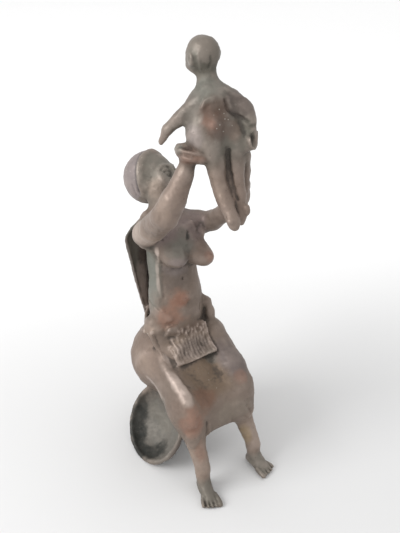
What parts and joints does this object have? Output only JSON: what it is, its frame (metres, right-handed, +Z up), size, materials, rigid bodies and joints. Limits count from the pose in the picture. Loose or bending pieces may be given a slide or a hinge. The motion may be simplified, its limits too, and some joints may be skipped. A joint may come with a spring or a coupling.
{
  "type": "cast bronze figure group",
  "caption": "Seated mother in a wrapped skirt and shoulder cape leans back and lifts her child up in both hands, a shallow bowl tipped at her side; a cast metal ornament that stands on a shelf.",
  "frame": {"origin": "on the table, in the middle of the figure's outline seen from above", "axes": "+Z up, -Y the way the mother faces, +X towards her left hand"},
  "size_m": [0.071, 0.1272, 0.2912],
  "materials": {
    "bronze": "dark brown patinated cast bronze, satin, rubbed lighter on the high places"
  },
  "bodies": {
    "root": {"maternity_figure": "bronze"}
  },
  "joints": []
}
